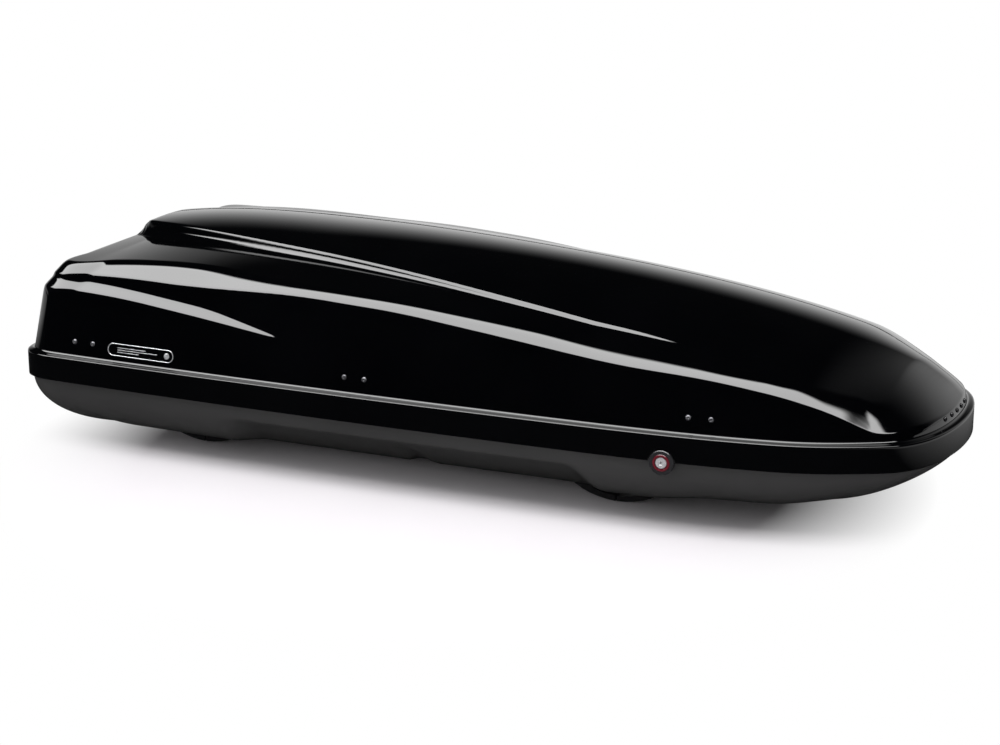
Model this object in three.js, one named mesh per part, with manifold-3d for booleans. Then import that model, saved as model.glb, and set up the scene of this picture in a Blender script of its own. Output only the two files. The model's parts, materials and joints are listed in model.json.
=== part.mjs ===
// Roof cargo box: a base tray and a hinged lid, with claw clamps, key lock, latches, stays and straps.
// Units are millimetres. +X is the nose, +Y is the hinge side, -Y is the opening side, +Z is up.
// The origin is on the flat underside of the base, midway between the sides.

import * as THREE from 'three';
import { mergeVertices } from 'three/addons/utils/BufferGeometryUtils.js';
import Module from 'manifold-3d';

const wasm = await Module();
wasm.setup();

// ---- driving dimensions ----

const REAR_X = -963;
const NOSE_X = 967;
const HALF_WIDTH = 400;
const GAP = 0.3;

const SKIRT_BOTTOM = 115;
const LEDGE_EDGE = 167;
const WALL_FOOT = 172;
const WALL_FOOT_INSET = 15;
const WALL_SLOPE = 5;
const LID_WALL = 4;
const CREST_RISE = 243;
const CREST_X = -380;
const CREST_RUN = 1340;

const BASE_WALL = 4;
const BASE_INSET = 9;
const BASE_TOP = 150;
const BELLY_REACH = 130;
const KEEL_START = 470;
const KEEL_RUN = 620;

const RIVET_STATIONS = [-788, -153, 557];
const RIVET_HALF_PITCH = 22.5;
const RIVET_HEIGHT = 200;
const NOSE_RIVET_HEIGHT = 183;
const NOSE_RIVET_PITCH = 36;

const CLAMPS = [
  { name: 'rear_right', x: -598, y: -215 },
  { name: 'rear_left', x: -598, y: 215 },
  { name: 'front_right', x: 336, y: -190 },
  { name: 'front_left', x: 336, y: 190 },
];
const JAW_PIVOT_X = 62;
const JAW_PIVOT_Z = 16;
const JAW_REACH = 100;
const JAW_DEPTH = 30;
const JAW_THICKNESS = 22;
const CLAMP_TOP = 38;

const HINGE_HEIGHT = 104;
const HINGE_OFFSET = 11.5;

const STAY_STATIONS = [{ name: 'rear', x: -560 }, { name: 'front', x: 330 }];
const STAY_FOOT = { in: 120, up: -60 };
const STAY_HEAD = { in: 100, up: 90 };

const LOCK_X = 488;
const LOCK_Z = 114;
const LOCK_BAR_INSET = 36;
const TONGUE_REST = 24;

// ---- materials ----

function material(color, roughness, metalness) {
  return new THREE.MeshStandardMaterial({ color, roughness, metalness });
}

const glossBlack = () => material(0x07070a, 0.06, 0);
const trayGrey = () => material(0x34363a, 0.5, 0);
const blackPlastic = () => material(0x0d0e10, 0.45, 0);
const zincSteel = () => material(0x9a9da2, 0.35, 1);
const chrome = () => material(0xd8dadd, 0.12, 1);
const redPlastic = () => material(0x8e1418, 0.35, 0);
const webbing = () => material(0x17181b, 0.9, 0);

const object = new THREE.Group();

function put(name, geometry, finish) {
  const mesh = new THREE.Mesh(geometry, finish);
  mesh.name = name;
  object.add(mesh);
}

// ---- joining and cutting ----

function solid(geometry) {
  const bare = geometry.clone();
  bare.deleteAttribute('normal');
  bare.deleteAttribute('uv');
  const merged = mergeVertices(bare, 1e-4);
  const vertProperties = new Float32Array(merged.attributes.position.array);
  const triVerts = new Uint32Array(merged.index.array);
  return new wasm.Manifold(new wasm.Mesh({ numProp: 3, vertProperties, triVerts }));
}

function geometryOf(body) {
  const mesh = body.getMesh();
  const geometry = new THREE.BufferGeometry();
  geometry.setAttribute('position', new THREE.BufferAttribute(new Float32Array(mesh.vertProperties), 3));
  geometry.setIndex(new THREE.BufferAttribute(new Uint32Array(mesh.triVerts), 1));
  geometry.computeVertexNormals();
  return geometry;
}

function box(x, y, z) {
  const geometry = new THREE.BoxGeometry(x[1] - x[0], y[1] - y[0], z[1] - z[0]);
  return geometry.translate((x[0] + x[1]) / 2, (y[0] + y[1]) / 2, (z[0] + z[1]) / 2);
}

// A cylinder whose axis runs along +X, +Y or +Z from one end to the other.
function rod(axis, radius, ends, sides = 16) {
  const geometry = new THREE.CylinderGeometry(radius, radius, ends[1] - ends[0], sides);
  geometry.translate(0, (ends[0] + ends[1]) / 2, 0);
  if (axis === 'x') geometry.rotateZ(-Math.PI / 2);
  if (axis === 'z') geometry.rotateX(Math.PI / 2);
  return geometry;
}

// A flat outline drawn in X and Z, given a thickness along Y and centred on Y = 0.
function plateXZ(shape, thickness, curveSegments = 8) {
  const geometry = new THREE.ExtrudeGeometry(shape, { depth: thickness, bevelEnabled: false, curveSegments });
  return geometry.rotateX(Math.PI / 2).translate(0, thickness / 2, 0);
}

// ---- rim outline: the left half of the skirt seen from above, from the rear centre to the nose ----

const v2 = (x, y) => new THREE.Vector2(x, y);
const quadratic = (a, b, c) => new THREE.QuadraticBezierCurve(v2(...a), v2(...b), v2(...c));
const cubic = (a, b, c, d) => new THREE.CubicBezierCurve(v2(...a), v2(...b), v2(...c), v2(...d));
const RIM_CURVES = [
  { curve: quadratic([REAR_X, 0], [REAR_X, 200], [-957, 318]), steps: 4 },
  { curve: cubic([-957, 318], [-953, 372], [-925, 398], [-862, 398]), steps: 4 },
  { curve: cubic([-862, 398], [-640, HALF_WIDTH], [-250, 392], [108, 373]), steps: 9 },
  { curve: cubic([108, 373], [330, 361], [530, 352], [700, 312]), steps: 6 },
  { curve: cubic([700, 312], [765, 296.7], [825, 266], [880, 232]), steps: 3 },
  { curve: quadratic([880, 232], [902, 218.4], [917, 198]), steps: 2 },
  { curve: cubic([917, 198], [946, 158.6], [NOSE_X, 92], [NOSE_X, 0]), steps: 5 },
];

function rimSamples(refine = 1) {
  const samples = [];
  for (const { curve, steps } of RIM_CURVES) {
    const count = steps * refine;
    for (let k = 0; k < count; k++) {
      samples.push({ point: curve.getPoint(k / count), tangent: curve.getTangent(k / count) });
    }
  }
  samples.push({ point: v2(NOSE_X, 0), tangent: v2(0, -1) });
  return samples.map(({ point, tangent }) => ({ point, tangent, inward: v2(tangent.y, -tangent.x) }));
}

const FINE_RIM = rimSamples(24);

// The rim point on the left side at a given x, with its forward tangent and inward normal.
function rimAt(x) {
  const k = FINE_RIM.findIndex((sample) => sample.point.x >= x);
  const a = FINE_RIM[Math.max(k - 1, 0)];
  const b = FINE_RIM[k < 0 ? FINE_RIM.length - 1 : k];
  const t = b.point.x === a.point.x ? 0 : (x - a.point.x) / (b.point.x - a.point.x);
  const tangent = a.tangent.clone().lerp(b.tangent, t).normalize();
  return { point: a.point.clone().lerp(b.point, t), tangent, inward: v2(tangent.y, -tangent.x) };
}

// A frame on the rim at a given x: its origin, the forward tangent and the inward normal. The side is
// +1 for the left (hinge) side and -1 for the right (opening) side.
function rimFrame(x, side) {
  const { point, tangent, inward } = rimAt(x);
  const along = new THREE.Vector3(tangent.x, side * tangent.y, 0);
  const inside = new THREE.Vector3(inward.x, side * inward.y, 0);
  return { origin: new THREE.Vector3(point.x, side * point.y, 0), along, inside };
}

// Moves a geometry drawn as (along, inset, up) into a rim frame. Nothing is mirrored: along points
// forward on the right side and backward on the left side.
function inFrame(geometry, frame, side) {
  const along = side < 0 ? frame.along : frame.along.clone().negate();
  const up = new THREE.Vector3(0, 0, 1);
  const matrix = new THREE.Matrix4().makeBasis(along, frame.inside, up).setPosition(frame.origin);
  return geometry.clone().applyMatrix4(matrix);
}

// ---- lid surface ----

const clamp01 = (t) => Math.min(Math.max(t, 0), 1);
const lerp = (a, b, t) => a + (b - a) * t;

function smoothstep(x, low, high) {
  const t = clamp01((x - low) / (high - low));
  return t * t * (3 - 2 * t);
}

function smoothMin(a, b, radius) {
  const h = clamp01(0.5 + (0.5 * (b - a)) / radius);
  return b * (1 - h) + a * h - radius * h * (1 - h);
}

function rampBetween(x, low, high, softness) {
  const soft = (t) => softness * Math.log1p(Math.exp(Math.min(t / softness, 60)));
  return soft(x - low) - soft(x - high);
}

function crestHeight(x) {
  if (x > CREST_X) {
    const t = Math.min((x - CREST_X) / CREST_RUN, 0.9999);
    return WALL_FOOT + CREST_RISE * Math.sqrt(1 - t * t);
  }
  return WALL_FOOT + CREST_RISE - 26 * ((CREST_X - x) / 494) ** 3.5;
}

const spineHalfWidth = (x) => 215 * Math.max(clamp01((x + 882) / 1180), 1e-4) ** 0.38;
const spineStep = (x) => 28 * (1 - clamp01((x + 800) / 1230) ** 1.25);

// Height of the roof: a crowned spine panel, a step down, then a shoulder panel that fades into the nose.
function roofHeight(x, y) {
  const across = Math.abs(y);
  const footHalfWidth = rimAt(x).point.y - WALL_FOOT_INSET;
  const crown = 0.47 + 0.45 * smoothstep(x, 430, 930);
  const crest = crestHeight(x) - WALL_FOOT;
  const crowned = (w) => WALL_FOOT + crest * (1 - crown * (w / footHalfWidth) ** 2);
  const ridge = spineHalfWidth(x);
  const step = spineStep(x);
  const fall = 0.03 + 0.035 * (1 - smoothstep(x, -500, -300));
  const nose = smoothstep(x, -300, 330);
  const panel = crowned(ridge) - step - fall * (across - ridge - 20);
  const shoulder = lerp(panel, crowned(across), nose);
  const onSpine = smoothstep(ridge + 18 - across, 0, 20);
  return lerp(shoulder, crowned(across), onSpine);
}

function lidHeight(inset, x, y) {
  const rearSlope = 275 + 1.66 * (x + 925);
  const roof = smoothMin(roofHeight(x, y), rearSlope, 14) - WALL_FOOT;
  const haunchHeight = 309 - 0.108 * Math.max(x + 800, 0);
  const haunchWidth = 15 * (1 - smoothstep(x, -720, -290));
  const haunchStart = (haunchHeight - WALL_FOOT) / WALL_SLOPE;
  const e = Math.max(inset - WALL_FOOT_INSET, 0);
  const shelf = (WALL_SLOPE - 1) * rampBetween(e, haunchStart, haunchStart + haunchWidth, 1.2);
  const wall = Math.max(WALL_SLOPE * e - shelf, 1e-4);
  const power = 4 - 1.2 * (1 - smoothstep(x, -720, -450));
  const top = Math.max(roof, 1);
  return WALL_FOOT + (wall * top) / (wall ** power + top ** power) ** (1 / power);
}

// ---- shells: columns of points that run from the rim to the centre line ----

// Each column starts on the rim and heads for its own point on the centre line.
function columns() {
  const samples = rimSamples();
  const lengths = [0];
  for (let k = 1; k < samples.length; k++) {
    lengths.push(lengths[k - 1] + samples[k].point.distanceTo(samples[k - 1].point));
  }
  const total = lengths[lengths.length - 1];
  return samples.map((sample, k) => {
    const target = v2(-700 + (1300 * lengths[k]) / total, 0);
    const run = target.clone().sub(sample.point);
    const reach = run.length();
    const direction = run.normalize();
    const bite = Math.max(direction.dot(sample.inward), 0.3);
    return { start: sample.point, direction, reach, bite, inward: sample.inward };
  });
}

const at = (column, distance) => column.start.clone().addScaledVector(column.direction, distance);

// The distance along a column where it crosses the line |y| = spineHalfWidth(x) + offset.
function crossing(column, from, offset) {
  const side = (t) => {
    const p = at(column, t);
    return p.y - spineHalfWidth(p.x) - offset;
  };
  if (side(from) <= 0) return null;
  let low = from;
  let high = column.reach;
  for (let k = 0; k < 30; k++) {
    const middle = (low + high) / 2;
    if (side(middle) > 0) low = middle;
    else high = middle;
  }
  return low;
}

function lidColumn(column) {
  const points = [
    [0, SKIRT_BOTTOM],
    [0, LEDGE_EDGE - 4],
    [3, LEDGE_EDGE + 1],
    [12, WALL_FOOT - 1.5],
  ].map(([inset, z]) => {
    const p = column.start.clone().addScaledVector(column.inward, inset);
    return new THREE.Vector3(p.x, p.y, z);
  });
  const insets = [15, 18, 25, 33, 41, 49, 58, 70, 92];
  const distances = insets.map((inset) => Math.min(inset / column.bite, column.reach * inset * 0.0045));
  const last = distances[distances.length - 1];
  const even = [0.17, 0.34, 0.52, 0.7, 0.86].map((t) => lerp(last, column.reach, t));
  const valley = crossing(column, last, 19);
  const ridge = crossing(column, last, -3);
  // Columns that meet the spine's step put their points beside it; the others keep them even.
  const weight = valley && ridge ? smoothstep(column.start.y, 120, 260) : 0;
  const beside = [
    lerp(last, valley, 0.5),
    valley,
    ridge,
    lerp(ridge, column.reach, 0.4),
    lerp(ridge, column.reach, 0.75),
  ];
  const stops = weight > 0 ? even.map((t, k) => lerp(t, beside[k], weight)) : even;
  for (const t of [...distances, ...stops, column.reach]) {
    const p = at(column, t);
    points.push(new THREE.Vector3(p.x, p.y, lidHeight(t * column.bite, p.x, p.y)));
  }
  return points;
}

// How far in from the rim the tray reaches its full depth: rounder beyond the clamps at both ends.
function bellyReach(x) {
  const rear = 50 * (1 - smoothstep(x, -940, -800));
  const ahead = 50 * smoothstep(x, 600, 680) * (1 - smoothstep(x, 680, 820));
  return BELLY_REACH + rear + ahead + 40 * smoothstep(x, 680, 850);
}

const keel = (x) => SKIRT_BOTTOM * Math.min(Math.max((x - KEEL_START) / KEEL_RUN, 0) ** 2.4, 0.97);

function bellyColumn(column) {
  const points = [
    [BASE_INSET, BASE_TOP],
    [BASE_INSET, SKIRT_BOTTOM + 3],
  ].map(([inset, z]) => {
    const p = column.start.clone().addScaledVector(column.inward, inset);
    return new THREE.Vector3(p.x, p.y, z);
  });
  const turn = [4, 20, 36, 52, 70, 90].map((degrees) => THREE.MathUtils.degToRad(degrees));
  const reach = bellyReach(column.start.x);
  const stops = turn.map((angle) => ({
    t: (BASE_INSET + 0.6 + reach * (1 - Math.cos(angle))) / column.bite,
    depth: Math.sin(angle),
  }));
  const limit = column.reach * 0.8;
  const last = Math.min(stops[stops.length - 1].t, limit);
  for (const { t, depth } of stops) {
    const p = at(column, Math.min(t, limit * (0.5 + 0.5 * (t / stops[stops.length - 1].t))));
    points.push(new THREE.Vector3(p.x, p.y, lerp(SKIRT_BOTTOM, keel(p.x), depth)));
  }
  for (const part of [0.35, 0.7, 1]) {
    const p = at(column, lerp(last, column.reach, part));
    points.push(new THREE.Vector3(p.x, p.y, keel(p.x)));
  }
  return points;
}

// All the way round: the left half, then its mirror image back to the rear.
function ring(profile) {
  const left = columns().map(profile);
  const right = left.slice(1, -1).reverse();
  return [...left, ...right.map((column) => column.map((p) => new THREE.Vector3(p.x, -p.y, p.z)))];
}

// Unit normals that point away from the inside of the shell; facing is +1 for a lid, -1 for a tray.
function ringNormals(grid, facing) {
  const n = grid.length;
  return grid.map((column, c) => column.map((p, r) => {
    const before = grid[(c + n - 1) % n];
    const after = grid[(c + 1) % n];
    if (r === column.length - 1) {
      const other = c === 0 || c > n / 2 ? before : after;
      const along = c === 0 ? after[r].clone().sub(p) : other[r].clone().sub(p);
      const slope = along.x === 0 ? 0 : along.z / along.x;
      return new THREE.Vector3(-slope, 0, 1).normalize().multiplyScalar(facing);
    }
    const round = after[r].clone().sub(before[r]);
    const inward = column[r + 1].clone().sub(column[Math.max(r - 1, 0)]);
    return inward.cross(round).normalize().multiplyScalar(facing);
  }));
}

function shellBetween(outer, inner, facing) {
  const rows = outer[0].length;
  const n = outer.length;
  const positions = [...outer.flat(), ...inner.flat()].flatMap((p) => [p.x, p.y, p.z]);
  const index = [];
  const outside = (c, r) => (c % n) * rows + r;
  const inside = (c, r) => n * rows + (c % n) * rows + r;
  const quad = (a, b, c, d, flip) => index.push(...(flip ? [a, c, b, a, d, c] : [a, b, c, a, c, d]));
  for (let c = 0; c < n; c++) {
    for (let r = 0; r < rows - 1; r++) {
      quad(outside(c, r), outside(c, r + 1), outside(c + 1, r + 1), outside(c + 1, r), facing < 0);
      quad(inside(c, r), inside(c, r + 1), inside(c + 1, r + 1), inside(c + 1, r), facing > 0);
    }
    quad(outside(c, 0), outside(c + 1, 0), inside(c + 1, 0), inside(c, 0), facing < 0);
  }
  const geometry = new THREE.BufferGeometry();
  geometry.setAttribute('position', new THREE.Float32BufferAttribute(positions, 3));
  geometry.setIndex(index);
  return geometry;
}

function offsetRing(grid, normals, distance, straight) {
  return grid.map((column, c) => column.map((p, r) => {
    if (r in straight) {
      const inward = normals[c][0].clone().setZ(0).normalize();
      const [inset, z] = straight[r];
      return p.clone().addScaledVector(inward, -inset).setZ(z);
    }
    return p.clone().addScaledVector(normals[c][r], -distance);
  }));
}

function lidShell() {
  const outer = ring(lidColumn);
  const normals = ringNormals(outer, 1);
  const straight = {
    0: [LID_WALL, SKIRT_BOTTOM],
    1: [LID_WALL, LEDGE_EDGE - 6],
    2: [LID_WALL - 0.5, LEDGE_EDGE - 3.2],
    3: [1.5, WALL_FOOT - 5.6],
  };
  return solid(shellBetween(outer, offsetRing(outer, normals, LID_WALL, straight), 1));
}

function baseShell() {
  const outer = ring(bellyColumn);
  const normals = ringNormals(outer, -1);
  const straight = { 0: [BASE_WALL, BASE_TOP], 1: [BASE_WALL, SKIRT_BOTTOM + 3] };
  return solid(shellBetween(outer, offsetRing(outer, normals, BASE_WALL, straight), -1));
}

// ---- rivets: a domed head outside, a shank, and a formed tail inside ----

function rivet(grip, headRadius = 5.5) {
  const profile = [
    v2(0, -3), v2(headRadius * 0.6, -2.5), v2(headRadius, -0.9), v2(headRadius, -GAP),
    v2(2.4, -GAP), v2(2.4, grip), v2(4.2, grip), v2(4.2, grip + 1.8), v2(0, grip + 1.8),
  ];
  return new THREE.LatheGeometry(profile, 10);
}

// Lays a geometry made around +Y along the inward normal of a wall that leans by the wall slope.
function onWall(geometry, along, height, inset) {
  const lean = Math.atan(1 / WALL_SLOPE);
  return geometry.clone().rotateX(-lean).translate(along, inset, height);
}

const wallInset = (height) => WALL_FOOT_INSET + (height - WALL_FOOT) / WALL_SLOPE;

// ---- latch keepers: hooked plates on the lid that the lock tongues enter ----

function latchKeeper() {
  const shape = new THREE.Shape();
  shape.moveTo(-20, 146);
  shape.lineTo(20, 146);
  shape.lineTo(20, 152);
  shape.lineTo(-8, 152);
  shape.lineTo(-8, 164);
  shape.lineTo(20, 164);
  shape.lineTo(20, 182);
  shape.lineTo(31, 188);
  shape.lineTo(31, 212);
  shape.lineTo(-31, 212);
  shape.lineTo(-31, 188);
  shape.lineTo(-20, 182);
  shape.closePath();
  const plate = plateXZ(shape, 3).translate(0, 29.5, 0);
  let body = solid(plate);
  for (const along of [-RIVET_HALF_PITCH, RIVET_HALF_PITCH]) {
    const hole = onWall(rod('y', 3.2, [-4, 16]), along, RIVET_HEIGHT, wallInset(RIVET_HEIGHT));
    body = body.subtract(solid(hole));
  }
  return body;
}

// ---- the lid with its latch side ----

let lid = lidShell();
let base = baseShell();

for (const [k, place] of ['rear', 'middle', 'front'].entries()) {
  const frame = rimFrame(RIVET_STATIONS[k], -1);
  for (const [along, end] of [[-RIVET_HALF_PITCH, 'a'], [RIVET_HALF_PITCH, 'b']]) {
    const hole = onWall(rod('y', 2.9, [-3, 9], 12), along, RIVET_HEIGHT, wallInset(RIVET_HEIGHT));
    lid = lid.subtract(solid(inFrame(hole, frame, -1)));
    const pin = onWall(rivet(11.9), along, RIVET_HEIGHT, wallInset(RIVET_HEIGHT));
    put(`side_rivet_${place}_${end}`, inFrame(pin, frame, -1), zincSteel());
  }
  put(`latch_keeper_${place}`, inFrame(geometryOf(latchKeeper()), frame, -1), zincSteel());
}

// ---- nose: a curved bracket behind a row of five rivets ----

function noseSample(y) {
  let best = FINE_RIM[FINE_RIM.length - 1];
  const miss = (sample) => Math.abs(sample.point.y - Math.abs(y));
  for (const sample of FINE_RIM) {
    if (sample.point.x > 900 && miss(sample) < miss(best)) best = sample;
  }
  const side = y < 0 ? -1 : 1;
  const inside = new THREE.Vector3(best.inward.x, side * best.inward.y, 0);
  return { origin: new THREE.Vector3(best.point.x, side * best.point.y, 0), inside };
}

function noseFrameMatrix({ origin, inside }) {
  const up = new THREE.Vector3(0, 0, 1);
  const along = new THREE.Vector3().crossVectors(inside, up);
  return new THREE.Matrix4().makeBasis(along, inside, up).setPosition(origin);
}

function noseBracket(low, high, bottom, top) {
  const front = [];
  const back = [];
  for (let y = -92; y <= 92; y += 23) {
    const { origin, inside } = noseSample(y);
    front.push(origin.clone().addScaledVector(inside, low));
    back.push(origin.clone().addScaledVector(inside, high));
  }
  const outline = [...front, ...back.reverse()].map((p) => v2(p.x, p.y));
  const depth = top - bottom;
  const geometry = new THREE.ExtrudeGeometry(new THREE.Shape(outline), { depth, bevelEnabled: false });
  return solid(geometry.translate(0, 0, bottom));
}

let bracket = noseBracket(26, 29, 175, 191);
for (let k = -2; k <= 2; k++) {
  const matrix = noseFrameMatrix(noseSample(k * NOSE_RIVET_PITCH));
  const inset = wallInset(NOSE_RIVET_HEIGHT);
  const hole = onWall(rod('y', 2.9, [-3, 16], 12), 0, NOSE_RIVET_HEIGHT, inset).applyMatrix4(matrix);
  lid = lid.subtract(solid(hole));
  bracket = bracket.subtract(solid(hole));
  const pin = onWall(rivet(13.2, 5), 0, NOSE_RIVET_HEIGHT, inset).applyMatrix4(matrix);
  put(`nose_rivet_${k + 3}`, pin, blackPlastic());
}
put('nose_bracket', geometryOf(bracket), zincSteel());

// ---- badge plate: a plain rounded plate on the right wall near the rear ----

function badgePlate() {
  const half = 80;
  const radius = 13;
  const shape = new THREE.Shape();
  shape.absarc(half - radius, 0, radius, -Math.PI / 2, Math.PI / 2);
  shape.absarc(-half + radius, 0, radius, Math.PI / 2, (3 * Math.PI) / 2);
  shape.closePath();
  const plate = plateXZ(shape, 1.2);
  const height = 195;
  return onWall(plate.translate(0, -1.5, 0), 0, height, wallInset(height));
}
put('badge_plate', inFrame(badgePlate(), rimFrame(-647, -1), -1), material(0x9fa3a8, 0.3, 1));

// ---- lock: housing in the base, cylinder that turns, ring, bar that slides ----

const lockFrame = rimFrame(LOCK_X, -1);

function lockHousing() {
  const profile = [
    v2(11.4, -3), v2(22.5, -3), v2(24, -1.5), v2(24, 8.6),
    v2(13, 8.6), v2(13, 24), v2(11.4, 24), v2(11.4, -3),
  ];
  return new THREE.LatheGeometry(profile, 28).translate(0, 0, LOCK_Z);
}

function lockCylinder() {
  const barrel = solid(rod('y', 11, [-4, 27], 20).translate(0, 0, LOCK_Z));
  const cam = solid(box([-6, 6], [25, 29], [LOCK_Z - 12, LOCK_Z + 19]));
  return barrel.add(cam);
}

function lockRing() {
  const profile = [v2(11.7, -4.4), v2(16, -4.4), v2(16.5, -3.4), v2(11.7, -3.4), v2(11.7, -4.4)];
  return new THREE.LatheGeometry(profile, 28).translate(0, 0, LOCK_Z);
}

put('lock_housing', inFrame(lockHousing(), lockFrame, -1), trayGrey());
put('lock_cylinder', inFrame(geometryOf(lockCylinder()), lockFrame, -1), chrome());
put('lock_indicator_ring', inFrame(lockRing(), lockFrame, -1), redPlastic());
const lockNotch = inFrame(rod('y', 26.5, [-8, 8], 32).translate(0, 0, LOCK_Z), lockFrame, -1);
lid = lid.subtract(solid(lockNotch));
const lockBore = inFrame(rod('y', 13.5, [4, 20], 24).translate(0, 0, LOCK_Z), lockFrame, -1);
base = base.subtract(solid(lockBore));

// A flat bar that follows the right side of the tray, with one tongue for each keeper.
function lockBar() {
  const near = [];
  const far = [];
  for (let x = -850; x <= 640; x += 74.5) {
    const { point, inward } = rimAt(x);
    near.push(point.clone().addScaledVector(inward, LOCK_BAR_INSET));
    far.push(point.clone().addScaledVector(inward, LOCK_BAR_INSET + 3));
  }
  const outline = [...near, ...far.reverse()].map((p) => v2(p.x, -p.y));
  const strip = new THREE.ExtrudeGeometry(new THREE.Shape(outline), { depth: 15, bevelEnabled: false });
  let bar = solid(strip.translate(0, 0, 128));
  for (const station of RIVET_STATIONS) {
    const frame = rimFrame(station, -1);
    const along = [TONGUE_REST, TONGUE_REST + 16];
    const post = box(along, [LOCK_BAR_INSET, LOCK_BAR_INSET + 3.4], [140, 161]);
    const tongue = box(along, [24, LOCK_BAR_INSET + 1], [155, 161]);
    bar = bar.add(solid(inFrame(post, frame, -1))).add(solid(inFrame(tongue, frame, -1)));
  }
  return bar;
}
put('lock_bar', geometryOf(lockBar()), zincSteel());

function barGuide() {
  const shape = new THREE.Shape();
  const inner = BASE_INSET + BASE_WALL + 0.4;
  shape.moveTo(inner, 118);
  shape.lineTo(46, 118);
  shape.lineTo(46, 148);
  shape.lineTo(43, 148);
  shape.lineTo(43, 122);
  shape.lineTo(inner + 3, 122);
  shape.lineTo(inner + 3, 146);
  shape.lineTo(inner, 146);
  shape.closePath();
  const geometry = new THREE.ExtrudeGeometry(shape, { depth: 30, bevelEnabled: false });
  return geometry.rotateX(Math.PI / 2).rotateZ(Math.PI / 2).translate(-15, 0, 0);
}
for (const [name, x] of [['rear', -480], ['front', 180]]) {
  put(`bar_guide_${name}`, inFrame(barGuide(), rimFrame(x, -1), -1), blackPlastic());
}

// ---- hinges on the left side, all on one straight line below the skirt ----

const hingeEnds = [RIVET_STATIONS[0], RIVET_STATIONS[2]].map((x) => {
  const { point, inward } = rimAt(x);
  return point.clone().addScaledVector(inward, -HINGE_OFFSET);
});
const hingeRun = hingeEnds[1].clone().sub(hingeEnds[0]).normalize();
const hingeInward = v2(hingeRun.y, -hingeRun.x);

// The point on the hinge line at a given x, and a matrix from (along, in, up) measured from the line.
function hingeMatrix(x) {
  const t = (x - hingeEnds[0].x) / hingeRun.x;
  const p = hingeEnds[0].clone().addScaledVector(hingeRun, t);
  const along = new THREE.Vector3(-hingeRun.x, -hingeRun.y, 0);
  const inside = new THREE.Vector3(hingeInward.x, hingeInward.y, 0);
  const up = new THREE.Vector3(0, 0, 1);
  return new THREE.Matrix4().makeBasis(along, inside, up).setPosition(p.x, p.y, HINGE_HEIGHT);
}

function hingeParts(x) {
  const onLine = hingeMatrix(x);
  const frame = rimFrame(x, 1);
  const line = (geometry) => solid(geometry.applyMatrix4(onLine));
  const rim = (geometry) => solid(inFrame(geometry, frame, 1));
  const standoff = rimAt(x).point.y - new THREE.Vector3().setFromMatrixPosition(onLine).y;
  const leafPlate = rim(box([-22, 22], [-3.3, -GAP], [106, 160]));
  const web = line(box([-9, 9], [-4, Math.max(-standoff, 0) + 1], [0, 8]));
  const knuckle = line(rod('x', 6, [-9, 9]));
  const leaf = leafPlate.add(web).add(knuckle)
    .subtract(line(rod('x', 3.2, [-30, 30], 12)))
    .subtract(line(box([-30, -9.3], [-7, 6.6], [-7, 6.8])))
    .subtract(line(box([9.3, 30], [-7, 6.6], [-7, 6.8])));
  const foot = rim(box([-22, 22], [Math.min(standoff, 0) - 2, BASE_INSET + 6], [78, 94]))
    .subtract(base.translate(0, GAP, 0))
    .subtract(base);
  const toLine = line(box([-22, 22], [-6, 9], [-22, -8]));
  const lugs = line(box([-22, -9.6], [-6, 6], [-16, 0])).add(line(box([9.6, 22], [-6, 6], [-16, 0])));
  const eyes = line(rod('x', 6, [-22, -9.6])).add(line(rod('x', 6, [9.6, 22])));
  const mount = foot.add(toLine).add(lugs).add(eyes).add(line(rod('x', 2.8, [-21, 21], 12)));
  return { leaf, mount };
}

for (const [k, place] of ['rear', 'middle', 'front'].entries()) {
  const { leaf, mount } = hingeParts(RIVET_STATIONS[k]);
  put(`hinge_leaf_${place}`, geometryOf(leaf), blackPlastic());
  put(`hinge_base_${place}`, geometryOf(mount), blackPlastic());
}

// ---- lid stays: a tube that turns on the base and a rod that slides out of it ----

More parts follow.
